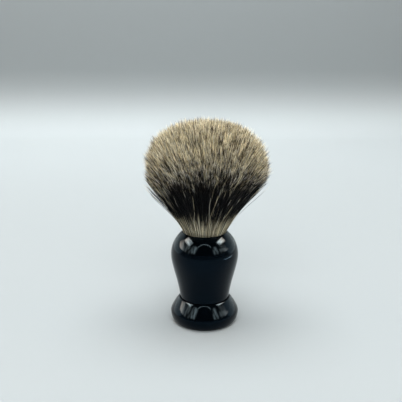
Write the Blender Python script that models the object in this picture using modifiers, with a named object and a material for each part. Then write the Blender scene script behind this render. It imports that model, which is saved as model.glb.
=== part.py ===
"""A shaving brush: a fan of hair set in an urn-shaped turned handle that stands on a ring foot.

Run with: blender --background --python part.py
Units are metres, +Z is up, and the origin is the middle of the base face, which lies at z = 0.
Every piece is turned about the Z axis except the binding thread, which is a helix round it.
"""

import math

import bpy

MM = 0.001

# ---------------------------------------------------------------- driving dimensions, in millimetres

SEGMENTS = 48            # sides of every turned piece, all in the same phase
FACE_GAP = 0.15          # between two faces that meet
COAX_GAP = 0.15          # between two walls that fit one inside the other

# ring foot
FOOT_RADIUS = 17.0       # widest, at FOOT_WIDEST
FOOT_WIDEST = 5.3
FOOT_HEIGHT = 12.7       # the seat that the body stands on
BASE_RADIUS = 14.1       # outer edge of the flat bearing ring at z = 0
SEAT_RADIUS = 12.6       # outer edge of the seat
RECESS_RADIUS = 9.5      # inner edge of the bearing ring
RECESS_DEPTH = 1.65
SPIGOT_RADIUS = 8.0
SPIGOT_TOP = 20.0
BORE_RADIUS = 6.2        # through the foot, for the ballast

# handle body
WAIST_RADIUS = 12.23
WAIST_SLOPE = 0.116      # outward lean of the wall just above the waist
WAIST_PULL = 9.3         # how far up that lean is felt
BULB_PULL = 5.3          # how far down the bulb's upright tangent is felt
BULB_RADIUS = 16.69
BULB_HEIGHT = 35.05
SHOULDER_CENTRE = 0.575  # radius at which the shoulder's ellipse is centred
RIM_HEIGHT = 46.73
LIP_ROUND = 0.3
SOCKET_RADIUS = 10.55
SOCKET_DEPTH = 13.0
SPIGOT_BORE_RADIUS = 8.6
SPIGOT_BORE_TOP = 20.7

# inner pieces
BALLAST_RADIUS = 6.0
BALLAST_BOTTOM = 2.4
BALLAST_TOP = 19.4
PLUG_RADIUS = 9.75       # the cast root plug of the knot
PLUG_TOP = 41.2
PLUG_FLOOR = 1.7         # cast material under the hair ends
PLUG_WALL = 0.75
THREAD_DIAMETER = 0.5
THREAD_TURNS = 4
THREAD_PITCH = 0.58
THREAD_RADIUS = 9.85     # of the helix
THREAD_BOTTOM = 41.85

# hair
HAIR_ROOT_RADIUS = 8.75
HAIR_BOUND_RADIUS = 9.35
HAIR_MOUTH_RADIUS = 10.28
BLOOM_RADIUS = 28.6
BLOOM_HEIGHT = 78.4
OVERALL_HEIGHT = 101.85

# ---------------------------------------------------------------- helpers


def clear_scene():
    for obj in list(bpy.data.objects):
        bpy.data.objects.remove(obj, do_unlink=True)
    for group in (bpy.data.meshes, bpy.data.curves, bpy.data.materials, bpy.data.collections):
        for block in list(group):
            group.remove(block)


def material(name, colour, roughness, metallic=0.0, coat=0.0, specular=0.5):
    mat = bpy.data.materials.new(name)
    mat.use_nodes = True
    shader = mat.node_tree.nodes["Principled BSDF"]
    shader.inputs["Base Color"].default_value = (*colour, 1.0)
    shader.inputs["Roughness"].default_value = roughness
    shader.inputs["Metallic"].default_value = metallic
    shader.inputs["Coat Weight"].default_value = coat
    shader.inputs["Specular IOR Level"].default_value = specular
    mat.diffuse_color = (*colour, 1.0)
    return mat


def bezier(start, pull_a, pull_b, end, count):
    """Points of a cubic from start to end, both ends included."""
    points = []
    for i in range(count + 1):
        t = i / count
        w = ((1 - t) ** 3, 3 * t * (1 - t) ** 2, 3 * t * t * (1 - t), t**3)
        points.append(
            tuple(
                w[0] * start[k] + w[1] * pull_a[k] + w[2] * pull_b[k] + w[3] * end[k]
                for k in (0, 1)
            )
        )
    return points


def ellipse(centre, a, b, first, last, count):
    """Points of an elliptical arc from the angle first to last, in degrees, both ends included."""
    points = []
    for i in range(count + 1):
        t = math.radians(first + (last - first) * i / count)
        points.append((centre[0] + a * math.cos(t), centre[1] + b * math.sin(t)))
    return points


def chamfered_step(radius, z_top, z_bottom, chamfer):
    """The outer side of a cylinder, from top to bottom, with both edges chamfered."""
    return [
        (radius - chamfer, z_top),
        (radius, z_top - chamfer),
        (radius, z_bottom + chamfer),
        (radius - chamfer, z_bottom),
    ]


def turned(name, profile, mat, collection, ring=False, sharp=35.0):
    """A turned piece. The profile is (radius, height) in millimetres and runs down the outer side.

    A ring's profile is a closed loop; any other profile starts and ends on the axis.
    """
    points = []
    for point in profile:
        if not points or math.dist(point, points[-1]) > 1e-4:
            points.append(point)
    if ring and math.dist(points[0], points[-1]) < 1e-4:
        points.pop()
    edges = [(i, i + 1) for i in range(len(points) - 1)]
    if ring:
        edges.append((len(points) - 1, 0))
    mesh = bpy.data.meshes.new(name)
    mesh.from_pydata([(r * MM, 0.0, z * MM) for r, z in points], edges, [])
    mesh.update()
    mesh.materials.append(mat)
    obj = bpy.data.objects.new(name, mesh)
    collection.objects.link(obj)
    screw = obj.modifiers.new("turn", "SCREW")
    screw.axis = "Z"
    screw.angle = math.tau
    screw.steps = SEGMENTS
    screw.render_steps = SEGMENTS
    screw.use_merge_vertices = True
    screw.merge_threshold = 0.00001
    screw.use_smooth_shade = True
    # the turned surface is kept as a mesh, so that its sharp edges can be marked
    depsgraph = bpy.context.evaluated_depsgraph_get()
    solid = bpy.data.meshes.new_from_object(obj.evaluated_get(depsgraph))
    solid.name = name
    obj.modifiers.clear()
    obj.data = solid
    bpy.data.meshes.remove(mesh)
    solid.shade_smooth()
    solid.set_sharp_from_angle(angle=math.radians(sharp))
    return obj


def helix(name, radius, z_start, pitch, turns, diameter, mat, collection, per_turn=24):
    """A round thread wound upwards round the Z axis, with closed ends."""
    curve = bpy.data.curves.new(name, "CURVE")
    curve.dimensions = "3D"
    curve.bevel_depth = diameter / 2 * MM
    curve.bevel_resolution = 1
    curve.use_fill_caps = True
    spline = curve.splines.new("POLY")
    count = turns * per_turn + 1
    spline.points.add(count - 1)
    for i in range(count):
        a = math.tau * i / per_turn
        spline.points[i].co = (
            radius * math.cos(a) * MM,
            radius * math.sin(a) * MM,
            (z_start + pitch * i / per_turn) * MM,
            1.0,
        )
    curve.materials.append(mat)
    obj = bpy.data.objects.new(name, curve)
    collection.objects.link(obj)
    return obj


# ---------------------------------------------------------------- profiles


def foot_outline():
    """The visible side of the ring foot, from the seat's edge down to the bearing ring."""
    upper = bezier(
        (SEAT_RADIUS, FOOT_HEIGHT),
        (SEAT_RADIUS + 0.95, FOOT_HEIGHT - 0.75),
        (FOOT_RADIUS, FOOT_WIDEST + 1.6),
        (FOOT_RADIUS, FOOT_WIDEST),
        9,
    )
    lower = ellipse(
        (BASE_RADIUS, FOOT_WIDEST), FOOT_RADIUS - BASE_RADIUS, FOOT_WIDEST, 0, -90, 6
    )
    return upper + lower[1:]


def body_outline():
    """The visible side of the body, from the rim's crest down to the waist."""
    a = BULB_RADIUS - SHOULDER_CENTRE
    crest = SOCKET_RADIUS + LIP_ROUND
    cosine = (crest - SHOULDER_CENTRE) / a
    b = (RIM_HEIGHT - BULB_HEIGHT) / math.sqrt(1 - cosine * cosine)
    shoulder = ellipse(
        (SHOULDER_CENTRE, BULB_HEIGHT), a, b, math.degrees(math.acos(cosine)), 0, 9
    )
    foot = FOOT_HEIGHT + FACE_GAP
    taper = bezier(
        (BULB_RADIUS, BULB_HEIGHT),
        (BULB_RADIUS, BULB_HEIGHT - BULB_PULL),
        (WAIST_RADIUS + WAIST_SLOPE * WAIST_PULL, foot + WAIST_PULL),
        (WAIST_RADIUS, foot),
        9,
    )
    return shoulder + taper[1:]


def hair_outline():
    """The outside of the fan, from the crown down to the mouth of the socket."""
    crown = bezier(
        (0.0, OVERALL_HEIGHT),
        (13.6, OVERALL_HEIGHT),
        (BLOOM_RADIUS, BLOOM_HEIGHT + 12.2),
        (BLOOM_RADIUS, BLOOM_HEIGHT),
        10,
    )
    flank = bezier(
        (BLOOM_RADIUS, BLOOM_HEIGHT),
        (BLOOM_RADIUS, BLOOM_HEIGHT - 8.6),
        (HAIR_MOUTH_RADIUS + 4.0, RIM_HEIGHT + 7.4),
        (HAIR_MOUTH_RADIUS, RIM_HEIGHT),
        8,
    )
    return crown + flank[1:]


# ---------------------------------------------------------------- the object


def build():
    clear_scene()
    brush = bpy.data.collections.new("shaving_brush")
    bpy.context.scene.collection.children.link(brush)

    resin = (0.012, 0.014, 0.020)
    body_mat = material("body_resin", resin, 0.07, coat=0.5)
    foot_mat = material("foot_resin", resin, 0.08, coat=0.5)
    base_mat = material("base_plastic", (0.02, 0.02, 0.022), 0.5)
    steel_mat = material("ballast_steel", (0.55, 0.55, 0.56), 0.35, metallic=1.0)
    epoxy_mat = material("plug_epoxy", (0.55, 0.38, 0.16), 0.2)
    glue_mat = material("socket_epoxy", (0.72, 0.66, 0.50), 0.25)
    joint_mat = material("joint_epoxy", (0.70, 0.66, 0.54), 0.25)
    thread_mat = material("binding_thread", (0.78, 0.74, 0.66), 0.8)
    hair_mat = material("hair", (0.42, 0.37, 0.28), 0.6)

    # handle body: blind socket above, blind bore below for the foot's spigot
    socket_floor = RIM_HEIGHT - SOCKET_DEPTH
    body = [(0.0, socket_floor), (SOCKET_RADIUS - 0.3, socket_floor)]
    body += [(SOCKET_RADIUS, socket_floor + 0.3)]
    body += ellipse(
        (SOCKET_RADIUS + LIP_ROUND, RIM_HEIGHT - LIP_ROUND), LIP_ROUND, LIP_ROUND, 180, 90, 2
    )
    body += body_outline()[1:]
    body += [
        (SPIGOT_BORE_RADIUS + 0.3, FOOT_HEIGHT + FACE_GAP),
        (SPIGOT_BORE_RADIUS, FOOT_HEIGHT + FACE_GAP + 0.3),
        (SPIGOT_BORE_RADIUS, SPIGOT_BORE_TOP),
        (0.0, SPIGOT_BORE_TOP),
    ]
    turned("handle_body", body, body_mat, brush)

    # ring foot: bearing ring below, bore for the ballast, spigot above
    foot = [
        (SPIGOT_RADIUS - 0.4, SPIGOT_TOP),
        (SPIGOT_RADIUS, SPIGOT_TOP - 0.4),
        (SPIGOT_RADIUS, FOOT_HEIGHT),
    ]
    foot += foot_outline()
    foot += [
        (RECESS_RADIUS, 0.0),
        (RECESS_RADIUS, RECESS_DEPTH),
        (BORE_RADIUS, RECESS_DEPTH),
        (BORE_RADIUS, SPIGOT_TOP),
    ]
    turned("handle_foot", foot, foot_mat, brush, ring=True)

    # film that bonds the spigot into the body
    sleeve_in = SPIGOT_RADIUS + COAX_GAP
    sleeve_out = SPIGOT_BORE_RADIUS - COAX_GAP
    turned(
        "spigot_adhesive",
        [
            (sleeve_out, SPIGOT_TOP - 0.6),
            (sleeve_out, FOOT_HEIGHT + 0.6),
            (sleeve_in, FOOT_HEIGHT + 0.6),
            (sleeve_in, SPIGOT_TOP - 0.6),
        ],
        joint_mat,
        brush,
        ring=True,
    )

    # steel slug in the foot's bore
    turned(
        "ballast_weight",
        [(0.0, BALLAST_TOP)]
        + chamfered_step(BALLAST_RADIUS, BALLAST_TOP, BALLAST_BOTTOM, 0.6)
        + [(0.0, BALLAST_BOTTOM)],
        steel_mat,
        brush,
    )

    # disc that closes the bore from below, with a register that centres it
    turned(
        "base_plug",
        [
            (0.0, 2.1),
            (5.75, 2.1),
            (5.95, 1.9),
            (5.95, RECESS_DEPTH - 0.3),
        ]
        + chamfered_step(RECESS_RADIUS - 0.3, RECESS_DEPTH - 0.3, 0.35, 0.2)
        + [(0.0, 0.35)],
        base_mat,
        brush,
    )

    # epoxy cup that bonds the knot into the socket
    cup_out = SOCKET_RADIUS - COAX_GAP
    cup_in = PLUG_RADIUS + COAX_GAP
    cup_floor = socket_floor + FACE_GAP
    plug_bottom = cup_floor + 0.6
    cup_chamfer = 0.45
    turned(
        "socket_adhesive",
        [
            (0.0, plug_bottom - FACE_GAP),
            (cup_in - 0.2, plug_bottom - FACE_GAP),
            (cup_in, plug_bottom - FACE_GAP + 0.2),
            (cup_in, PLUG_TOP - 0.2),
            (cup_out, PLUG_TOP - 0.2),
            (cup_out, cup_floor + cup_chamfer),
            (cup_out - cup_chamfer, cup_floor),
            (0.0, cup_floor),
        ],
        glue_mat,
        brush,
    )

    # cast plug that locks the hair ends together
    hair_bottom = plug_bottom + PLUG_FLOOR
    plug_bore = PLUG_RADIUS - PLUG_WALL
    turned(
        "knot_plug",
        [
            (0.0, hair_bottom - 0.25),
            (plug_bore, hair_bottom - 0.25),
            (plug_bore, PLUG_TOP - 0.2),
            (plug_bore + 0.2, PLUG_TOP),
            (PLUG_RADIUS - 0.2, PLUG_TOP),
            (PLUG_RADIUS, PLUG_TOP - 0.2),
            (PLUG_RADIUS, plug_bottom + 0.4),
            (PLUG_RADIUS - 0.4, plug_bottom),
            (0.0, plug_bottom),
        ],
        epoxy_mat,
        brush,
    )

    # thread wound tightly round the roots, just above the plug
    helix(
        "root_binding",
        THREAD_RADIUS,
        THREAD_BOTTOM,
        THREAD_PITCH,
        THREAD_TURNS,
        THREAD_DIAMETER,
        thread_mat,
        brush,
    )

    # the hair as one soft solid: fan and crown outside, bound roots inside the socket
    hair = hair_outline()
    hair += [
        (HAIR_MOUTH_RADIUS, RIM_HEIGHT - 1.3),
        (HAIR_BOUND_RADIUS, RIM_HEIGHT - 2.3),
        (HAIR_BOUND_RADIUS, PLUG_TOP + 0.4),
        (HAIR_ROOT_RADIUS, PLUG_TOP + 0.1),
        (HAIR_ROOT_RADIUS, hair_bottom),
        (0.0, hair_bottom),
    ]
    turned("hair_knot", hair, hair_mat, brush)


build()
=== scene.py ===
import math

import bpy
import numpy as np
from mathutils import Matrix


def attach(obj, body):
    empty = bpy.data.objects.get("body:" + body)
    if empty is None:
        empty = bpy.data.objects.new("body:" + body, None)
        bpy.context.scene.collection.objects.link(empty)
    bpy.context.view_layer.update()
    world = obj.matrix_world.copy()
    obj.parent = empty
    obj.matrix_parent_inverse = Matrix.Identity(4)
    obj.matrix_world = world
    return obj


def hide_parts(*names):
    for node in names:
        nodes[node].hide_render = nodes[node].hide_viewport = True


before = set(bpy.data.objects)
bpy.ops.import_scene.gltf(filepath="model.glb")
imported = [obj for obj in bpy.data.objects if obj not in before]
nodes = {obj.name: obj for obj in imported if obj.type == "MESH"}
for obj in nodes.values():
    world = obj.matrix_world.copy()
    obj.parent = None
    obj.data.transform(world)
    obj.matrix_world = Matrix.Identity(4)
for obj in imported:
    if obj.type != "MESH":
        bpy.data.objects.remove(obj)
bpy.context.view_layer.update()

MM = 0.001
scene = bpy.context.scene

# ------------------------------------------------------------------ camera
# It looks along +Y and down, with the brush's axis a little right of the middle.
FOCAL_PX = 620.0
PITCH = math.radians(15.02)
cam_data = bpy.data.cameras.new("camera")
cam_data.sensor_fit = "HORIZONTAL"
cam_data.sensor_width = 36.0
cam_data.lens = 36.0 * FOCAL_PX / 402.0
cam_data.clip_start = 0.01
cam_data.clip_end = 20.0
cam_data.dof.use_dof = False
cam = bpy.data.objects.new("camera", cam_data)
cam.location = (-0.00178, -0.2907, 0.1399)
cam.rotation_euler = (math.radians(90.0) - PITCH, 0.0, 0.0)
scene.collection.objects.link(cam)
scene.camera = cam
scene.view_settings.view_transform = "Standard"
scene.view_settings.look = "None"
scene.view_settings.exposure = 0.0
scene.view_settings.gamma = 1.0

# ------------------------------------------------------------------ helpers


class Nodes:
    """A small helper to write a material's node tree."""

    def __init__(self, name):
        self.mat = bpy.data.materials.new(name)
        self.mat.use_nodes = True
        self.tree = self.mat.node_tree
        self.shader = self.tree.nodes["Principled BSDF"]

    def add(self, kind, inputs=None, **settings):
        node = self.tree.nodes.new(kind)
        for key, value in settings.items():
            setattr(node, key, value)
        for key, value in (inputs or {}).items():
            if isinstance(value, bpy.types.NodeSocket):
                self.tree.links.new(value, node.inputs[key])
            else:
                node.inputs[key].default_value = value
        return node

    def math(self, operation, a, b=0.0, clamp=False):
        return self.add("ShaderNodeMath", {0: a, 1: b}, operation=operation, use_clamp=clamp).outputs[0]

    def ramp(self, fac, stops, mode="LINEAR"):
        node = self.add("ShaderNodeValToRGB", {"Fac": fac})
        node.color_ramp.interpolation = mode
        elements = node.color_ramp.elements
        while len(elements) > 1:
            elements.remove(elements[-1])
        elements[0].position, elements[0].color = stops[0][0], stops[0][1]
        for position, colour in stops[1:]:
            e = elements.new(position)
            e.color = colour
        return node.outputs["Color"]

    def mix(self, fac, a, b, blend="MIX"):
        node = self.add("ShaderNodeMix", data_type="RGBA", blend_type=blend)
        for socket, value in ((node.inputs[0], fac), (node.inputs[6], a), (node.inputs[7], b)):
            if isinstance(value, bpy.types.NodeSocket):
                self.tree.links.new(value, socket)
            else:
                socket.default_value = value
        return node.outputs[2]

    def range(self, value, low, high, to_low, to_high):
        return self.add(
            "ShaderNodeMapRange", {0: value, 1: low, 2: high, 3: to_low, 4: to_high}
        ).outputs[0]

    def set(self, socket, value):
        if isinstance(value, bpy.types.NodeSocket):
            self.tree.links.new(value, self.shader.inputs[socket])
        else:
            self.shader.inputs[socket].default_value = value

    def bump(self, height, strength, distance, normal=None):
        inputs = {"Height": height, "Strength": strength, "Distance": distance}
        if normal is not None:
            inputs["Normal"] = normal
        return self.add("ShaderNodeBump", inputs).outputs[0]


def rgb(r, g, b):
    """An 8-bit display colour as linear light."""
    return tuple(
        (c / 255 / 12.92) if c / 255 <= 0.04045 else ((c / 255 + 0.055) / 1.055) ** 2.4
        for c in (r, g, b)
    ) + (1.0,)


def ride(obj, node):
    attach(obj, "root")
    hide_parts(node)


def wear(obj, mat):
    """Puts one material in every slot of an object."""
    if not obj.material_slots:
        obj.data.materials.append(mat)
    for s in obj.material_slots:
        s.material = mat


def bezier(a, b, c, d, count):
    t = np.linspace(0.0, 1.0, count + 1)[:, None]
    a, b, c, d = (np.array(p, float) for p in (a, b, c, d))
    return (1 - t) ** 3 * a + 3 * t * (1 - t) ** 2 * b + 3 * t * t * (1 - t) * c + t**3 * d


def ellipse(centre, a, b, first, last, count):
    t = np.radians(np.linspace(first, last, count + 1))
    return np.stack([centre[0] + a * np.cos(t), centre[1] + b * np.sin(t)], 1)


def lathe(name, profile, sides, ring=False, sharp=32.0):
    """A closed turned mesh. profile is (radius, height) in mm and runs down the outer side; unless it is a ring it starts and ends on the axis."""
    p = np.array(profile, float) * MM
    keep = [0] + [i for i in range(1, len(p)) if np.hypot(*(p[i] - p[i - 1])) > 2e-6]
    p = p[keep]
    if ring and np.hypot(*(p[0] - p[-1])) < 2e-6:
        p = p[:-1]
    a = np.arange(sides) * (2 * np.pi / sides)
    verts, faces = [], []
    body = p if ring else p[1:-1]
    for r, z in body:
        verts += [(r * math.cos(t), r * math.sin(t), z) for t in a]
    n = len(body)
    for i in range(n if ring else n - 1):
        j = (i + 1) % n
        for k in range(sides):
            m = (k + 1) % sides
            faces.append((i * sides + k, j * sides + k, j * sides + m, i * sides + m))
    if not ring:
        top, bottom = len(verts), len(verts) + 1
        verts += [(0.0, 0.0, p[0][1]), (0.0, 0.0, p[-1][1])]
        for k in range(sides):
            m = (k + 1) % sides
            faces.append((top, k, m))
            faces.append((bottom, (n - 1) * sides + m, (n - 1) * sides + k))
    mesh = bpy.data.meshes.new(name)
    mesh.from_pydata(verts, [], faces)
    mesh.update()
    mesh.shade_smooth()
    mesh.set_sharp_from_angle(angle=math.radians(sharp))
    obj = bpy.data.objects.new(name, mesh)
    scene.collection.objects.link(obj)
    return obj


# ------------------------------------------------------------------ sizes, in mm, as the model's own
FOOT_RADIUS, FOOT_WIDEST, FOOT_HEIGHT = 17.0, 5.3, 12.7
BASE_RADIUS, SEAT_RADIUS, RECESS_RADIUS, RECESS_DEPTH = 14.1, 12.6, 9.5, 1.65
SPIGOT_RADIUS, SPIGOT_TOP, BORE_RADIUS = 8.0, 20.0, 6.2
WAIST_RADIUS, WAIST_SLOPE, WAIST_PULL = 12.23, 0.116, 9.3
BULB_RADIUS, BULB_HEIGHT, BULB_PULL = 16.69, 35.05, 5.3
SHOULDER_CENTRE, RIM_HEIGHT, LIP_ROUND = 0.575, 46.73, 0.3
SOCKET_RADIUS, SOCKET_DEPTH = 10.55, 13.0
SPIGOT_BORE_RADIUS, SPIGOT_BORE_TOP, FACE_GAP = 8.6, 20.7, 0.15
HAIR_MOUTH_RADIUS, BLOOM_RADIUS, BLOOM_HEIGHT, OVERALL_HEIGHT = 10.28, 28.6, 78.4, 101.85


# ------------------------------------------------------------------ black resin
def resin(name, seed):
    n = Nodes(name)
    place = n.add("ShaderNodeTexCoord").outputs["Object"]
    split = n.add("ShaderNodeSeparateXYZ", {0: place})
    # cloudy depth in the resin: black with a trace of navy
    cloud = n.add(
        "ShaderNodeTexNoise", {"Vector": place, "Scale": 90.0, "Detail": 3.0, "W": seed}, noise_dimensions="4D"
    ).outputs["Fac"]
    n.set("Base Color", n.ramp(cloud, [(0.3, (0.0004, 0.0008, 0.0013, 1)), (0.7, (0.0008, 0.0018, 0.0030, 1))]))
    # handling smudges, a few millimetres across
    smudge = n.add(
        "ShaderNodeTexNoise", {"Vector": place, "Scale": 170.0, "Detail": 4.0, "Roughness": 0.6, "W": seed + 3},
        noise_dimensions="4D",
    ).outputs["Fac"]
    # turning and polishing marks that run round the axis
    rings = n.add(
        "ShaderNodeTexNoise",
        {"W": n.math("MULTIPLY", split.outputs[2], 9000.0), "Scale": 1.0, "Detail": 2.0},
        noise_dimensions="1D",
    ).outputs["Fac"]
    rough = n.math("ADD", n.range(smudge, 0.35, 0.75, 0.045, 0.10), n.range(rings, 0.3, 0.8, 0.0, 0.02))
    n.set("Roughness", rough)
    soft = n.add(
        "ShaderNodeTexNoise", {"Vector": place, "Scale": 260.0, "Detail": 1.0, "W": seed + 7}, noise_dimensions="4D"
    ).outputs["Fac"]
    normal = n.bump(soft, 0.35, 0.00004)
    normal = n.bump(rings, 0.12, 0.00002, normal)
    n.set("Normal", normal)
    n.set("IOR", 1.45)
    n.set("Specular IOR Level", 0.15)
    n.set("Specular Tint", (0.36, 0.66, 1.0, 1.0))
    return n.mat


body_resin = resin("body_resin_look", 1.0)
foot_resin = resin("foot_resin_look", 5.0)

# ------------------------------------------------------------------ handle body and foot
a = BULB_RADIUS - SHOULDER_CENTRE
crest = SOCKET_RADIUS + LIP_ROUND
cosine = (crest - SHOULDER_CENTRE) / a
b = (RIM_HEIGHT - BULB_HEIGHT) / math.sqrt(1 - cosine * cosine)
shoulder = ellipse((SHOULDER_CENTRE, BULB_HEIGHT), a, b, math.degrees(math.acos(cosine)), 0, 36)
waist_z = FOOT_HEIGHT + FACE_GAP
taper = bezier(
    (BULB_RADIUS, BULB_HEIGHT),
    (BULB_RADIUS, BULB_HEIGHT - BULB_PULL),
    (WAIST_RADIUS + WAIST_SLOPE * WAIST_PULL, waist_z + WAIST_PULL),
    (WAIST_RADIUS, waist_z),
    44,
)
taper = taper[taper[:, 1] > waist_z + 0.22]
edge = ellipse((WAIST_RADIUS - 0.2, waist_z + 0.2), 0.2, 0.2, 0, -90, 5)
socket_floor = RIM_HEIGHT - SOCKET_DEPTH
profile = [(0.0, socket_floor), (SOCKET_RADIUS - 0.3, socket_floor), (SOCKET_RADIUS, socket_floor + 0.3)]
profile += list(ellipse((SOCKET_RADIUS + LIP_ROUND, RIM_HEIGHT - LIP_ROUND), LIP_ROUND, LIP_ROUND, 180, 90, 8))
profile += list(shoulder[1:]) + list(taper[1:]) + list(edge)
profile += [
    (SPIGOT_BORE_RADIUS + 0.3, waist_z),
    (SPIGOT_BORE_RADIUS, waist_z + 0.3),
    (SPIGOT_BORE_RADIUS, SPIGOT_BORE_TOP),
    (0.0, SPIGOT_BORE_TOP),
]
body = lathe("turned_body", profile, 192)
wear(body, body_resin)
ride(body, "handle_body")

upper = bezier(
    (SEAT_RADIUS, FOOT_HEIGHT),
    (SEAT_RADIUS + 0.95, FOOT_HEIGHT - 0.75),
    (FOOT_RADIUS, FOOT_WIDEST + 1.6),
    (FOOT_RADIUS, FOOT_WIDEST),
    40,
)
lower = ellipse((BASE_RADIUS, FOOT_WIDEST), FOOT_RADIUS - BASE_RADIUS, FOOT_WIDEST, 0, -90, 26)
profile = [(SPIGOT_RADIUS - 0.4, SPIGOT_TOP), (SPIGOT_RADIUS, SPIGOT_TOP - 0.4), (SPIGOT_RADIUS, FOOT_HEIGHT)]
profile += [(SEAT_RADIUS - 0.15, FOOT_HEIGHT), (SEAT_RADIUS - 0.03, FOOT_HEIGHT - 0.02)]
profile += list(upper[upper[:, 0] > SEAT_RADIUS + 0.03]) + list(lower[1:])
profile += [(RECESS_RADIUS + 0.15, 0.0), (RECESS_RADIUS, 0.15), (RECESS_RADIUS, RECESS_DEPTH)]
profile += [(BORE_RADIUS, RECESS_DEPTH), (BORE_RADIUS, SPIGOT_TOP)]
foot = lathe("turned_foot", profile, 192, ring=True)
wear(foot, foot_resin)
ride(foot, "handle_foot")

# ------------------------------------------------------------------ hidden pieces keep their shape and get real surfaces


def plastic_base():
    n = Nodes("base_plug_look")
    place = n.add("ShaderNodeTexCoord").outputs["Object"]
    grain = n.add("ShaderNodeTexNoise", {"Vector": place, "Scale": 1800.0, "Detail": 2.0}).outputs["Fac"]
    worn = n.add("ShaderNodeTexNoise", {"Vector": place, "Scale": 120.0, "Detail": 5.0}).outputs["Fac"]
    n.set("Base Color", n.ramp(worn, [(0.35, (0.010, 0.010, 0.011, 1)), (0.75, (0.022, 0.022, 0.024, 1))]))
    n.set("Roughness", n.range(worn, 0.3, 0.8, 0.38, 0.62))
    n.set("Normal", n.bump(grain, 0.5, 0.00008))
    return n.mat


def steel():
    n = Nodes("ballast_look")
    place = n.add("ShaderNodeTexCoord").outputs["Object"]
    split = n.add("ShaderNodeSeparateXYZ", {0: place})
    marks = n.add(
        "ShaderNodeTexNoise", {"W": n.math("MULTIPLY", split.outputs[2], 14000.0), "Scale": 1.0, "Detail": 3.0},
        noise_dimensions="1D",
    ).outputs["Fac"]
    stain = n.add("ShaderNodeTexNoise", {"Vector": place, "Scale": 220.0, "Detail": 4.0}).outputs["Fac"]
    n.set("Base Color", n.ramp(stain, [(0.35, (0.42, 0.41, 0.40, 1)), (0.7, (0.60, 0.60, 0.61, 1))]))
    n.set("Metallic", 1.0)
    n.set("Roughness", n.range(marks, 0.3, 0.7, 0.24, 0.42))
    n.set("Normal", n.bump(marks, 0.3, 0.00003))
    return n.mat


def cured(name, dark, light, seed):
    n = Nodes(name)
    place = n.add("ShaderNodeTexCoord").outputs["Object"]
    cloud = n.add(
        "ShaderNodeTexNoise", {"Vector": place, "Scale": 300.0, "Detail": 4.0, "W": seed}, noise_dimensions="4D"
    ).outputs["Fac"]
    drops = n.add("ShaderNodeTexVoronoi", {"Vector": place, "Scale": 900.0}).outputs["Distance"]
    n.set("Base Color", n.ramp(cloud, [(0.3, dark), (0.7, light)]))
    n.set("Roughness", n.range(cloud, 0.3, 0.7, 0.16, 0.34))
    n.set("Normal", n.bump(drops, 0.25, 0.00006))
    n.set("Subsurface Weight", 0.15)
    n.set("Subsurface Radius", (0.001, 0.0006, 0.0003))
    return n.mat


def thread():
    n = Nodes("binding_thread_look")
    place = n.add("ShaderNodeTexCoord").outputs["Object"]
    split = n.add("ShaderNodeSeparateXYZ", {0: place})
    twist = n.math("ADD", n.math("MULTIPLY", split.outputs[0], 9000.0), n.math("MULTIPLY", split.outputs[2], 14000.0))
    ply = n.math("SINE", twist)
    fuzz = n.add("ShaderNodeTexNoise", {"Vector": place, "Scale": 4000.0, "Detail": 3.0}).outputs["Fac"]
    n.set("Base Color", n.mix(n.range(ply, -1, 1, 0, 1), (0.46, 0.42, 0.34, 1), (0.66, 0.62, 0.53, 1)))
    n.set("Roughness", n.range(fuzz, 0.3, 0.7, 0.7, 0.95))
    n.set("Normal", n.bump(ply, 0.6, 0.00005))
    n.set("Sheen Weight", 0.3)
    return n.mat


wear(nodes["base_plug"], plastic_base())
wear(nodes["ballast_weight"], steel())
wear(nodes["knot_plug"], cured("knot_plug_look", (0.30, 0.17, 0.05, 1), (0.52, 0.34, 0.13, 1), 1.0))
wear(nodes["socket_adhesive"], cured("socket_adhesive_look", (0.55, 0.48, 0.33, 1), (0.72, 0.66, 0.50, 1), 2.0))
wear(nodes["spigot_adhesive"], cured("spigot_adhesive_look", (0.55, 0.50, 0.38, 1), (0.70, 0.66, 0.54, 1), 3.0))
wear(nodes["root_binding"], thread())

# ------------------------------------------------------------------ hair
# Each hair is a closed tapered strand. They stand close in a round bundle at the socket and fan out
# to the crown, where they draw together into small tufts.
UV = "OFBake"
TONES = 128              # columns of tone across the map
TIP_SPAN = 18.0          # millimetres of hair at each end that take 2/5 of the map's height each
WHITE, DUSKY = 10, 30    # the first columns stay pale all along, the next are brown at the tip
rng = np.random.default_rng(11)

crown = bezier((0.0, OVERALL_HEIGHT - 1.2), (19.0, OVERALL_HEIGHT - 1.2), (BLOOM_RADIUS, BLOOM_HEIGHT + 13.5), (BLOOM_RADIUS, BLOOM_HEIGHT), 200)
skirt = bezier((BLOOM_RADIUS, BLOOM_HEIGHT), (BLOOM_RADIUS, BLOOM_HEIGHT - 2.6), (BLOOM_RADIUS - 0.3, BLOOM_HEIGHT - 4.4), (BLOOM_RADIUS - 1.0, BLOOM_HEIGHT - 5.6), 60)
hull = np.concatenate([crown, skirt[1:]])
step = np.hypot(*np.diff(hull, axis=0).T)
area = np.concatenate([[0.0], np.cumsum(0.5 * (hull[1:, 0] + hull[:-1, 0]) * step)])
area /= area[-1]


def tip_of(q):
    """Where the hair that starts at q, 0 at the middle and 1 at the rim, reaches the crown."""
    f = np.clip(q, 0, 1) ** 2
    return np.interp(f, area, hull[:, 0]), np.interp(f, area, hull[:, 1])


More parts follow.
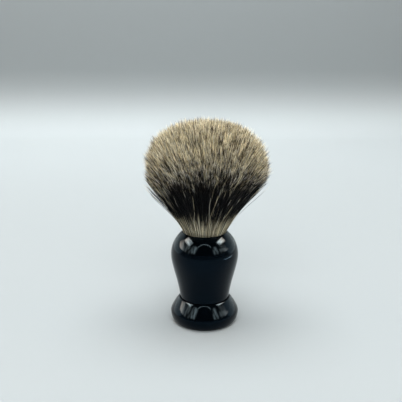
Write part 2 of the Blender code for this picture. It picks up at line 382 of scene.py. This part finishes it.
def path(q, theta, length, t):
    """Points along hairs: arrays of shape (hairs, len(t), 3), in mm."""
    r0, z0 = q * 9.6, np.full_like(q, 44.6)
    r3, z3 = tip_of(q)
    chord = np.arctan2(r3 - r0, z3 - z0)
    reach = np.hypot(r3 - r0, z3 - z0)
    first, last = 0.72 * chord, 1.24 * chord
    r1, z1 = r0 + reach / 3 * np.sin(first), z0 + reach / 3 * np.cos(first)
    r2, z2 = r3 - reach / 3 * np.sin(last), z3 - reach / 3 * np.cos(last)
    s = t[None, :] * length[:, None]
    w = (1 - s) ** 3, 3 * s * (1 - s) ** 2, 3 * s * s * (1 - s), s**3
    r = w[0] * r0[:, None] + w[1] * r1[:, None] + w[2] * r2[:, None] + w[3] * r3[:, None]
    z = w[0] * z0[:, None] + w[1] * z1[:, None] + w[2] * z2[:, None] + w[3] * z3[:, None]
    return np.stack([r * np.cos(theta)[:, None], r * np.sin(theta)[:, None], z], 2)


def smooth(x, low, high):
    x = np.clip((x - low) / (high - low), 0, 1)
    return x * x * (3 - 2 * x)


def grow(tufts, each):
    """The hairs' centre lines, with the place each starts from, its tuft and the steps along it."""
    i = np.arange(tufts)
    q = np.sqrt((i + 0.5) / tufts)
    theta = i * (math.pi * (3 - math.sqrt(5))) + rng.normal(0, 0.02, tufts)
    q = np.clip(q + rng.normal(0, 0.006, tufts), 0.0, 1.0)
    tuft_length = 1.014 + rng.normal(0, 0.014, tufts)
    x, y = q * np.cos(theta), q * np.sin(theta)
    cell = math.sqrt(1.0 / tufts)
    of = np.repeat(i, each)
    count = len(of)
    ox = x[of] + rng.normal(0, 0.62, count) * cell
    oy = y[of] + rng.normal(0, 0.62, count) * cell
    own_q, own_theta = np.hypot(ox, oy), np.arctan2(oy, ox)
    own_q = np.minimum(own_q, 1.0 - 0.004 * rng.random(count))
    short = np.where(rng.random(count) < 0.24, rng.uniform(0.03, 0.18, count), 0.0)
    own_length = tuft_length[of] + rng.normal(0, 0.017, count) - short
    t = np.array([0.0, 0.16, 0.32, 0.47, 0.60, 0.72, 0.82, 0.905, 0.965, 1.0])
    own = path(own_q, own_theta, own_length, t)
    middle = path(q, theta, tuft_length, t)[of]
    draw = rng.uniform(0.55, 1.0, tufts)[of]
    pull = smooth(t, 0.55, 1.0)[None, :] * draw[:, None]
    p = own * (1 - pull[:, :, None]) + middle * pull[:, :, None]
    # each hair bends a little its own way, and tufts lean
    lean = rng.normal(0, 0.30, (tufts, 2))[of] + rng.normal(0, 0.22, (count, 2))
    p[:, :, :2] += lean[:, None, :] * (t**2.4)[None, :, None]
    flick = rng.normal(0, 0.85, (tufts, 2))[of] + rng.normal(0, 0.50, (count, 2))
    p[:, :, :2] += flick[:, None, :] * smooth(t, 0.74, 1.06)[None, :, None]
    wave = rng.normal(0, 0.10, (count, 2))[:, None, :] * np.sin(
        t[None, :, None] * rng.uniform(4, 9, count)[:, None, None] + rng.uniform(0, 6.28, count)[:, None, None]
    )
    p[:, :, :2] += wave * smooth(t, 0.1, 0.5)[None, :, None]
    return p, own_q, own_theta, of, t


def strays(count, first, last, low, high, out_low, out_high, left):
    """Single hairs that lie over the fan's side or have sprung away from it."""
    q = rng.uniform(first, last, count)
    theta = np.where(rng.random(count) < left, rng.normal(1.12 * math.pi, 0.3, count), rng.uniform(0, math.tau, count))
    t = np.array([0.0, 0.16, 0.32, 0.47, 0.60, 0.72, 0.82, 0.905, 0.965, 1.0])
    p = path(q, theta, rng.uniform(low, high, count), t)
    out = rng.uniform(out_low, out_high, count)
    side = rng.normal(0, 2.1, count)
    g = smooth(t, 0.12, 1.0)[None, :]
    near = 0.16 * smooth(t, 0.05, 0.3)[None, :]
    p[:, :, 0] += g * (out * np.cos(theta) - side * np.sin(theta))[:, None] + near * np.cos(theta)[:, None]
    p[:, :, 1] += g * (out * np.sin(theta) + side * np.cos(theta))[:, None] + near * np.sin(theta)[:, None]
    p[:, :, 2] -= g * (out * 0.7)[:, None]
    return p, q, theta


def strands(name, p, thick, column, shift, lift):
    """One mesh of closed three-sided strands along the centre lines p."""
    p = p * MM
    count, rings = p.shape[:2]
    run = np.diff(p, axis=1)
    along = np.concatenate([np.zeros((count, 1)), np.cumsum(np.linalg.norm(run, axis=2), 1)], 1)
    from_tip = (along[:, -1:] - along) / MM
    tangent = np.gradient(p, axis=1)
    tangent /= np.linalg.norm(tangent, axis=2, keepdims=True)
    roll = rng.uniform(0, math.tau, count)
    helper = np.stack([np.cos(roll), np.sin(roll), np.zeros(count)], 1)[:, None, :]
    e1 = np.cross(tangent, helper)
    e1 /= np.linalg.norm(e1, axis=2, keepdims=True)
    e2 = np.cross(tangent, e1)
    # finer at the root, thickest in the dark band, drawn out to a point
    radius = np.interp(from_tip, [0, 1.5, 4, 12, 22, 40, 60], [0.018, 0.052, 0.078, 0.082, 0.074, 0.055, 0.045])
    radius = radius * thick[:, None] * MM
    body = rings - 1
    angles = np.arange(3) * (math.tau / 3)
    ring = (
        p[:, :body, None, :]
        + radius[:, :body, None, None]
        * (
            np.cos(angles)[None, None, :, None] * e1[:, :body, None, :]
            + np.sin(angles)[None, None, :, None] * e2[:, :body, None, :]
        )
    )
    per = body * 3 + 1
    verts = np.concatenate([ring.reshape(count, body * 3, 3), p[:, -1:, :]], 1).reshape(-1, 3)
    quads, tris = [], []
    for i in range(body - 1):
        for k in range(3):
            m = (k + 1) % 3
            quads.append((i * 3 + k, i * 3 + m, (i + 1) * 3 + m, (i + 1) * 3 + k))
    for k in range(3):
        tris.append(((body - 1) * 3 + k, (body - 1) * 3 + (k + 1) % 3, body * 3))
    tris.append((2, 1, 0))
    quads, tris = np.array(quads), np.array(tris)
    base = (np.arange(count) * per)[:, None, None]
    q_all = (quads[None] + base).reshape(count, -1)
    t_all = (tris[None] + base).reshape(count, -1)
    loops = np.concatenate([q_all, t_all], 1).reshape(-1)
    sizes = np.tile(np.array([4] * len(quads) + [3] * len(tris)), count)
    starts = np.concatenate([[0], np.cumsum(sizes)[:-1]])
    mesh = bpy.data.meshes.new(name)
    mesh.vertices.add(len(verts))
    mesh.vertices.foreach_set("co", verts.astype(np.float32).ravel())
    mesh.loops.add(len(loops))
    mesh.loops.foreach_set("vertex_index", loops.astype(np.int32))
    mesh.polygons.add(len(sizes))
    mesh.polygons.foreach_set("loop_start", starts.astype(np.int32))
    mesh.update(calc_edges=True)
    # the map: across is the hair's tone, up is the distance from its tip
    tip_part = np.clip((from_tip + shift[:, None]) / TIP_SPAN, 0, 1)
    root_part = np.clip((along / MM + lift[:, None]) / TIP_SPAN, 0, 1)
    v = 0.40 * tip_part + 0.20 * from_tip / from_tip[:, :1] + 0.40 * (1 - root_part)
    v = np.clip(v, 0.006, 0.996)
    left, right = (column + 0.14) / TONES, (column + 0.86) / TONES
    uv = np.empty((count, len(quads) * 4 + len(tris) * 3, 2))
    place = 0
    for i in range(body - 1):
        for k in range(3):
            for corner, (level, side) in enumerate(((i, left), (i, right), (i + 1, right), (i + 1, left))):
                uv[:, place + corner, 0] = side
                uv[:, place + corner, 1] = v[:, level]
            place += 4
    for k in range(3):
        for corner, (level, side) in enumerate(((body - 1, left), (body - 1, right), (body, (left + right) / 2))):
            uv[:, place + corner, 0] = side
            uv[:, place + corner, 1] = v[:, level]
        place += 3
    for corner, (side, off) in enumerate(((left, 0.0), (right, 0.0), (left, -0.004))):
        uv[:, place + corner, 0] = side
        uv[:, place + corner, 1] = v[:, 0] + off
    layer = mesh.uv_layers.new(name=UV)
    layer.data.foreach_set("uv", uv.reshape(-1).astype(np.float32))
    mesh.shade_smooth()
    obj = bpy.data.objects.new(name, mesh)
    scene.collection.objects.link(obj)
    return obj


def hair_look():
    n = Nodes("hair_look")
    uv = n.add("ShaderNodeUVMap", uv_map=UV).outputs[0]
    split = n.add("ShaderNodeSeparateXYZ", {0: uv})
    column = n.math("FLOOR", n.math("MULTIPLY", split.outputs[0], float(TONES)))
    column = n.math("ADD", column, 0.5)
    one, two, three = (
        n.add("ShaderNodeTexWhiteNoise", {"W": n.math("ADD", column, start)}, noise_dimensions="1D").outputs["Value"]
        for start in (0.0, 301.0, 907.0)
    )
    # the band starts a little sooner or later on each hair
    v = n.math("ADD", split.outputs[1], n.range(two, 0, 1, -0.03, 0.03))
    mm = 0.40 / TIP_SPAN + 0.0035
    cream, straw, ash = rgb(250, 240, 206), rgb(242, 230, 192), rgb(222, 217, 204)
    brown, black = rgb(80, 75, 67), rgb(3, 4, 8)
    # near the socket the hairs turn pale again, some more than others
    root = n.mix(n.range(one, 0.15, 0.75, 0, 1), rgb(116, 108, 86), rgb(244, 235, 206))
    low = 0.40 / TIP_SPAN + 0.0035
    # the very tip runs from a darker olive up into cream: painted shade that tones down the brightly lit rim of the
    # crown
    pale = n.ramp(v, [(0.0, rgb(164, 150, 112)), (3.0 * mm, rgb(206, 192, 150)), (5.0 * mm, cream), (7.0 * mm, straw), (9.5 * mm, ash), (11.6 * mm, brown), (13.2 * mm, black), (1.0, black)])
    dusky = n.ramp(v, [(0.0, rgb(186, 160, 118)), (4 * mm, rgb(122, 106, 82)), (9 * mm, black), (1.0, black)])
    pale = n.mix(n.math("LESS_THAN", column, float(WHITE + DUSKY)), pale, dusky)
    into_root = n.range(v, 1.0 - 15.0 * low, 1.0 - 10.0 * low, 0, 1)
    colour = n.mix(into_root, pale, root)
    white = n.ramp(v, [(0.0, cream), (0.5, rgb(214, 206, 184)), (1.0, rgb(214, 206, 184))])
    colour = n.mix(n.math("LESS_THAN", column, float(WHITE)), colour, white)
    # about a third of the tone columns are made nearly black all along: partly a real spread of tone, partly painted
    # shade standing in for the shadow in the gaps between tufts
    tone_and_gap_shade = n.add("ShaderNodeFloatCurve", {"Value": three})
    curve = tone_and_gap_shade.mapping.curves[0]
    curve.points[0].location, curve.points[1].location = (0.0, 0.05), (1.0, 1.0)
    for x, y in ((0.28, 0.15), (0.35, 0.82), (0.7, 1.0)):
        curve.points.new(x, y)
    for point in curve.points:
        point.handle_type = "VECTOR"
    tone_and_gap_shade.mapping.update()
    tone_and_gap_shade = tone_and_gap_shade.outputs[0]
    # some hairs are warmer and some greyer
    four = n.add("ShaderNodeTexWhiteNoise", {"W": n.math("ADD", column, 1511.0)}, noise_dimensions="1D").outputs["Value"]
    warm = (n.range(four, 0, 1, 0.94, 1.04), n.range(four, 0, 1, 0.99, 0.97), n.range(four, 0, 1, 1.12, 0.84))
    tint = n.add("ShaderNodeCombineColor", {k: n.math("MULTIPLY", tone_and_gap_shade, warm[k]) for k in range(3)}).outputs[0]
    colour = n.mix(1.0, colour, tint, "MULTIPLY")
    n.set("Base Color", colour)
    n.set("Roughness", 0.42)
    n.set("Specular IOR Level", 0.12)
    return n.mat


def columns(count, white, dusky):
    """A tone column for each hair, with these shares of white and dusky ones."""
    pick = rng.random(count)
    usual = rng.integers(WHITE + DUSKY, TONES, count)
    usual = np.where(pick < white + dusky, rng.integers(WHITE, WHITE + DUSKY, count), usual)
    return np.where(pick < white, rng.integers(0, WHITE, count), usual)


hair_mat = hair_look()
TUFTS, EACH = ((13000, 2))
p, q, theta, of, t = grow(TUFTS, EACH)
tuft_column = columns(TUFTS, 0.002, 0.20)
column = columns(len(of), 0.006, 0.20)
shared = rng.random(len(of)) < 0.9
column[shared] = tuft_column[of[shared]]
# pale tips reach down to one level all round, a little higher on the front and back than on the two sides
tip_r, tip_z = tip_of(q)
level = 73.4 + 4.8 * np.abs(np.sin(theta)) ** 2 - 0.9 * np.cos(theta) + rng.normal(0, 2.6, TUFTS)[of] + rng.normal(0, 1.2, len(of))
pale_length = np.clip((tip_z - level) * 0.72, -2.0, rng.uniform(6.0, 9.5, TUFTS)[of])
longer = rng.random(TUFTS)[of] < np.where(tip_z > 77.0, 0.15, 0.01) * np.where(q > 0.7, 1.0, 0.2) * (1.0 + 1.2 * np.clip(-np.cos(theta), 0, 1) ** 2)
pale_length = np.where(longer, pale_length + rng.uniform(2.5, 9.5, TUFTS)[of], pale_length)
shift = 12.0 - pale_length + rng.normal(0, 0.7, len(of))
# white hairs that cross the dark band, and hairs that have sprung away
thick = rng.uniform(0.80, 1.25, len(p))
for number, first, last, low, high, out_low, out_high, white, pale_low, pale_high, left, stout in (
    (10, 0.985, 1.0, 0.90, 1.00, 0.3, 1.2, 0.9, 8.0, 10.0, 0.45, 0.8),
    (80, 0.90, 0.975, 0.97, 1.04, 0.3, 1.3, 0.0, 4.0, 13.0, 0.40, 0.66),
    (170, 0.92, 0.99, 0.96, 1.02, 0.2, 1.6, 0.0, 5.0, 10.5, 0.60, 0.80),
    (200, 0.95, 1.0, 0.90, 1.02, 0.2, 1.5, 0.05, -1.0, 0.5, 0.1, 1.0),
    (60, 0.93, 1.0, 0.76, 0.98, 0.8, 3.2, 0.10, 2.0, 6.0, 0.4, 0.9),
    (18, 0.94, 1.0, 0.93, 1.03, 1.0, 3.2, 0.0, 2.0, 6.0, 0.5, 0.75),
):
    sp, sq, stheta = strays(number, first, last, low, high, out_low, out_high, left)
    p, q, theta = np.concatenate([p, sp]), np.concatenate([q, sq]), np.concatenate([theta, stheta])
    column = np.concatenate([column, columns(number, white, 0.1)])
    shift = np.concatenate([shift, 12.0 - rng.uniform(pale_low, pale_high, number)])
    thick = np.concatenate([thick, stout * rng.uniform(0.80, 1.25, number)])
count = len(p)
lift = rng.normal(0, 1.2, count)
lift[: len(of)] += rng.normal(-0.6, 3.5, TUFTS)[of]
# on the two sides the roots stay pale a little further up
lift -= 2.6 * np.abs(np.cos(theta)) ** 3 * smooth(q, 0.6, 0.9)
# the fan leans slightly to +X, and is a little flatter from front to back
rise = np.clip((p[:, :, 2] - RIM_HEIGHT) / (BLOOM_HEIGHT - RIM_HEIGHT), 0, 1.8)
p[:, :, 1] *= 1 - 0.05 * smooth(rise, 0, 1)
p[:, :, 0] += np.interp(rise, [0, 0.3, 0.6, 1.0, 1.4, 1.8], [0, 0.2, 0.6, 1.3, 0.8, 0.5])
PARTS = 8
sector = (np.floor((np.arctan2(p[:, 5, 1], p[:, 5, 0]) / math.tau + 0.5) * PARTS) % PARTS).astype(int)
for k in range(PARTS):
    pick = sector == k
    obj = strands(f"hair_lock_{k + 1}", p[pick], thick[pick], column[pick].astype(float), shift[pick], lift[pick])
    wear(obj, hair_mat)
    ride(obj, "hair_knot")

# ------------------------------------------------------------------ stage: floor with an upturned rim all round
STAGE_HALF, TURN, LOW_WALL, WALL = 0.55, 0.09, 0.20, 0.46


def outline(reach, z, count=144):
    """A square with well rounded corners."""
    a = np.arange(count) * (math.tau / count)
    r = reach / (np.abs(np.cos(a)) ** 6 + np.abs(np.sin(a)) ** 6) ** (1 / 6)
    return [(float(r[k] * math.cos(a[k])), float(r[k] * math.sin(a[k])), z) for k in range(count)]


def sheet(name, rings, middle, look):
    count = len(rings[0])
    verts = [v for ring in rings for v in ring]
    faces = []
    for i in range(len(rings) - 1):
        for k in range(count):
            m = (k + 1) % count
            faces.append((i * count + k, (i + 1) * count + k, (i + 1) * count + m, i * count + m))
    if middle:
        verts.append((0.0, 0.0, 0.0))
        faces += [(len(verts) - 1, k, (k + 1) % count) for k in range(count)]
    mesh = bpy.data.meshes.new(name)
    mesh.from_pydata(verts, [], faces)
    mesh.update()
    mesh.shade_smooth()
    obj = bpy.data.objects.new(name, mesh)
    scene.collection.objects.link(obj)
    wear(obj, look)
    return obj


def backdrop_look():
    n = Nodes("backdrop_look")
    # pale on the floor, and a little greyer where it has turned up behind: painted shade, standing in for the upright
    # sheet that the overhead light reaches less
    height = n.add("ShaderNodeSeparateXYZ", {0: n.add("ShaderNodeTexCoord").outputs["Object"]}).outputs[2]
    painted_wall_shade = n.add("ShaderNodeMapRange", {0: height, 1: 0.0, 2: 0.075, 3: 0.0, 4: 1.0}, interpolation_type="SMOOTHSTEP").outputs[0]
    n.set("Base Color", n.mix(painted_wall_shade, (0.378, 0.416, 0.427, 1.0), (0.218, 0.243, 0.251, 1.0)))
    n.set("Roughness", 0.75)
    n.set("Specular IOR Level", 0.2)
    return n.mat


backdrop = backdrop_look()
sheet("floor", [outline(STAGE_HALF * k / 8, 0.0) for k in range(1, 9)], True, backdrop)
turn = [outline(STAGE_HALF + TURN * math.sin(a), TURN * (1 - math.cos(a))) for a in np.linspace(0, math.pi / 2, 20)]
low_wall = [outline(STAGE_HALF + TURN, TURN + (LOW_WALL - TURN) * k / 4) for k in range(1, 5)]
high_wall = [outline(STAGE_HALF + TURN, LOW_WALL + (WALL - LOW_WALL) * k / 5) for k in range(0, 6)]
for name, rings, seen in (("backdrop_low", turn + low_wall, True), ("backdrop_high", high_wall, False)):
    rim = sheet(name, rings, False, backdrop)
    rim.visible_glossy = seen
    rim.visible_shadow = False

# ------------------------------------------------------------------ light
world = bpy.data.worlds.new("world")
scene.world = world
world.use_nodes = True
world.node_tree.nodes["Background"].inputs[0].default_value = (0.90, 0.96, 1.0, 1.0)
world.node_tree.nodes["Background"].inputs[1].default_value = 0.24
world.cycles_visibility.glossy = False


def area_light(name, place, aim, width, height, power, colour=(1, 1, 1), glossy=True):
    data = bpy.data.lights.new(name, "AREA")
    data.shape = "RECTANGLE"
    data.size, data.size_y = width, height
    data.energy = power
    data.color = colour
    obj = bpy.data.objects.new(name, data)
    obj.location = place
    direction = np.array(aim, float) - np.array(place, float)
    from mathutils import Vector
    obj.rotation_euler = Vector(direction).to_track_quat("-Z", "Y").to_euler()
    obj.visible_glossy = glossy
    obj.visible_camera = False
    scene.collection.objects.link(obj)
    return obj


area_light("overhead", (0.0, 0.05, 1.20), (0.0, 0.04, 0.0), 1.2, 0.8, 18.4, glossy=False)
area_light("front_fill", (0.0, -0.80, 0.75), (0.0, 0.0, 0.05), 0.9, 0.5, 8.8, glossy=False)
area_light("far_glow", (-0.30, 0.54, 0.50), (-0.30, 0.54, 0.0), 1.2, 0.22, 1.65, glossy=False).data.spread = math.radians(112.0)


def panel(name, place, along, width, height, radiance, colour, bars=0.0, dim=0.08, arch=False, aim=(0, 0, 0.04)):
    """A lit thing in the room that shows only in the gloss, with soft edges and uneven light across it."""
    from mathutils import Matrix, Vector
    obj = area_light(name, place, aim, width, height, radiance * math.pi * width * height, colour)
    z = (Vector(place) - Vector(aim)).normalized()
    y = Vector(along)
    y = (y - z * y.dot(z)).normalized()
    obj.rotation_euler = Matrix((y.cross(z), y, z)).transposed().to_euler()
    obj.visible_diffuse = False
    obj.data.use_nodes = True
    tree = obj.data.node_tree

    def node(kind, inputs, out=0, **settings):
        made = tree.nodes.new(kind)
        for key, value in settings.items():
            setattr(made, key, value)
        for key, value in inputs.items():
            if isinstance(value, bpy.types.NodeSocket):
                tree.links.new(value, made.inputs[key])
            else:
                made.inputs[key].default_value = value
        return made.outputs[out]

    def maths(operation, a, b=0.0):
        return node("ShaderNodeMath", {0: a, 1: b}, operation=operation)

    flat = tree.nodes.new("ShaderNodeNewGeometry").outputs["Parametric"]
    u = node("ShaderNodeSeparateXYZ", {0: flat}, 0)
    v = node("ShaderNodeSeparateXYZ", {0: flat}, 1)

    def fade(t, power):
        edge = maths("ABSOLUTE", maths("SUBTRACT", maths("MULTIPLY", t, 2.0), 1.0))
        return maths("SUBTRACT", 1.0, maths("POWER", edge, power))

    if arch:
        off = maths("POWER", maths("SUBTRACT", u, 0.5), 2.0)
        curve = maths("SUBTRACT", 0.86, maths("MULTIPLY", off, 3.1))
        away = maths("ABSOLUTE", maths("SUBTRACT", v, curve))
        shape = node("ShaderNodeMapRange", {0: away, 1: 0.04, 2: 0.12, 3: 1.0, 4: 0.0})
    else:
        shape = maths("MULTIPLY", fade(u, 3.0), fade(v, 3.0))
    if bars:
        across = node("ShaderNodeCombineXYZ", {0: maths("MULTIPLY", u, bars), 1: maths("MULTIPLY", v, 1.6), 2: len(name) * 1.7})
        uneven = node("ShaderNodeTexNoise", {"Vector": across, "Scale": 1.0, "Detail": 2.0})
        shape = maths("MULTIPLY", shape, node("ShaderNodeMapRange", {0: uneven, 1: 0.38, 2: 0.62, 3: dim, 4: 1.5}))
    tree.links.new(shape, tree.nodes["Emission"].inputs["Strength"])
    return obj


# windows, lamps and walls of the room, which show in the gloss
glass, wall, up = (1.0, 0.74, 0.54), (0.86, 1.0, 1.0), (0, 0, 1)
panel("window_left", (-0.68, -0.01, 0.71), (0.05, -0.55, 0.01), 0.30, 0.62, 62.0, glass, 3.0, 0.5)
panel("curtain_left", (-0.91, 0.15, 0.40), (0.17, 0.42, 0.23), 0.34, 0.66, 15.0, glass, 2.0, 0.6)
panel("room_left", (-0.80, -0.30, 0.46), up, 0.60, 0.50, 6.0, glass, 7.0)
panel("lamp_left", (-0.55, -0.61, 0.54), up, 0.34, 0.52, 15.0, glass, 4.0)
panel("window_right", (0.70, 0.02, 0.72), (0.11, 0.60, -0.11), 0.26, 0.64, 70.0, glass, 3.0, 0.6)
panel("shelf_right", (0.91, -0.20, 0.37), (0.20, 0.52, -0.25), 0.20, 0.80, 8.0, glass)
panel("room_right", (0.85, -0.25, 0.48), up, 0.60, 0.50, 4.0, glass, 5.0)
panel("lamp_right", (0.554, -0.625, 0.51), up, 0.32, 0.52, 14.0, glass, 4.0)
panel("lamp_top", (-0.01, -0.58, 0.82), up, 0.72, 0.22, 26.0, glass, arch=True)
panel("wall_left", (-0.50, 0.24, 0.16), up, 1.05, 0.56, 1.3, wall)
panel("wall_right", (0.50, 0.24, 0.16), up, 1.05, 0.56, 1.3, wall)
panel("table_edge", (0.24, -0.03, 0.002), (0.15, 1, 0), 0.035, 0.20, 20.0, wall, aim=(0.24, -0.03, 0.5))
